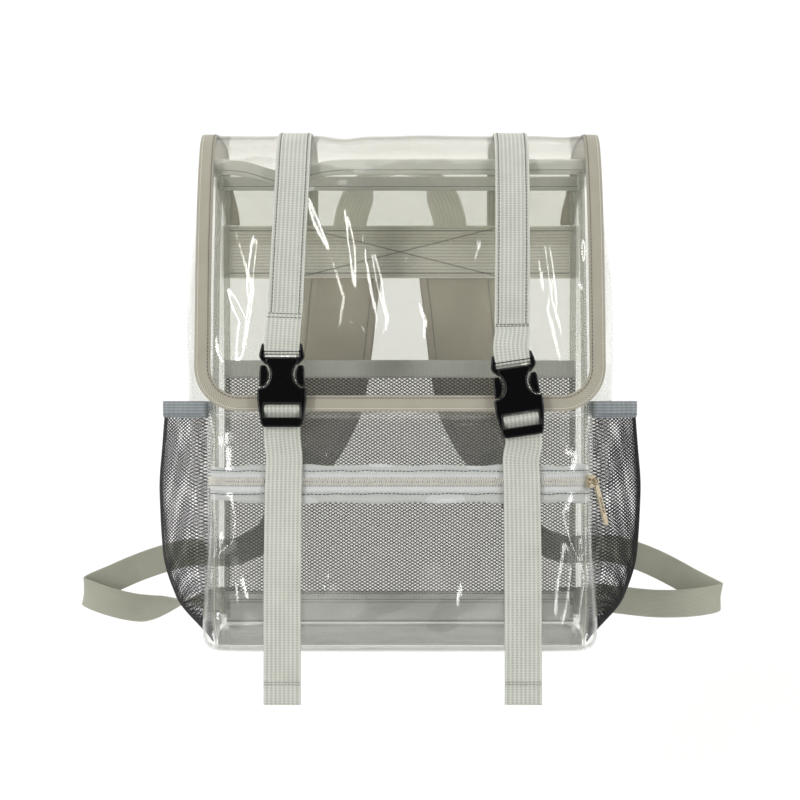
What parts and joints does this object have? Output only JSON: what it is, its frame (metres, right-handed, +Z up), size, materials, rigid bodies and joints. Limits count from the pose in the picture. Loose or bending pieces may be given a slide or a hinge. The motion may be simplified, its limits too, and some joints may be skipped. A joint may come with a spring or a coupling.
{
  "type": "flap backpack",
  "caption": "Clear flap-top backpack with a zipped front pocket, net side pockets, buckled front straps, shoulder straps and a haul loop.",
  "frame": {"origin": "underside of the haul loop's crown, where a finger or hook holds the bag", "axes": "+X to the bag's right as seen from its front, +Y to its back, +Z up"},
  "size_m": [0.5818, 0.2113, 0.4702],
  "materials": {
    "clear_pvc": "clear polished film with soft creases",
    "binding_tape": "matt diagonal twill tape",
    "pale_webbing": "matt ribbed webbing",
    "olive_webbing": "matt ribbed webbing",
    "black_net": "open diamond net",
    "grey_elastic": "ribbed elastic tape with zigzag stitches",
    "black_plastic": "moulded, glossy",
    "zip_tape": "fine woven tape",
    "zip_coil": "nylon coil",
    "pale_gold": "pale gold plated",
    "pad_cloth": "thin coated cloth"
  },
  "bodies": {
    "bag": {"back_panel": "clear_pvc", "front_panel": "clear_pvc", "left_gusset": "clear_pvc", "right_gusset": "clear_pvc", "base_panel": "clear_pvc", "flap": "clear_pvc", "pocket_upper": "clear_pvc", "pocket_lower": "clear_pvc", "mouth_binding": "binding_tape", "flap_binding": "binding_tape", "inner_pocket_hem": "binding_tape", "back_band": "pale_webbing", "left_upper_strap": "pale_webbing", "left_lower_strap": "pale_webbing", "right_upper_strap": "pale_webbing", "right_lower_strap": "pale_webbing", "haul_loop": "olive_webbing", "left_pad_tab": "olive_webbing", "left_shoulder_web": "olive_webbing", "right_pad_tab": "olive_webbing", "right_shoulder_web": "olive_webbing", "inner_net_pocket": "black_net", "left_side_net": "black_net", "right_side_net": "black_net", "left_side_hem": "grey_elastic", "right_side_hem": "grey_elastic", "left_buckle_plug": "black_plastic", "left_buckle_socket": "black_plastic", "right_buckle_plug": "black_plastic", "right_buckle_socket": "black_plastic", "left_adjuster": "black_plastic", "right_adjuster": "black_plastic", "zip_tape_upper": "zip_tape", "zip_tape_lower": "zip_tape", "zip_coil": "zip_coil", "zip_slider": "pale_gold", "left_shoulder_pad": "pad_cloth", "right_shoulder_pad": "pad_cloth"},
    "zip_pull": {"zip_pull": "pale_gold"}
  },
  "joints": [
    {"name": "zip_pull_hinge", "type": "hinge", "parent": "bag", "child": "zip_pull", "pos_m": [0.15816, -0.16866, -0.27625], "axis": [0.5732, 0.8194, 0], "range_deg": [-150, 0]}
  ]
}
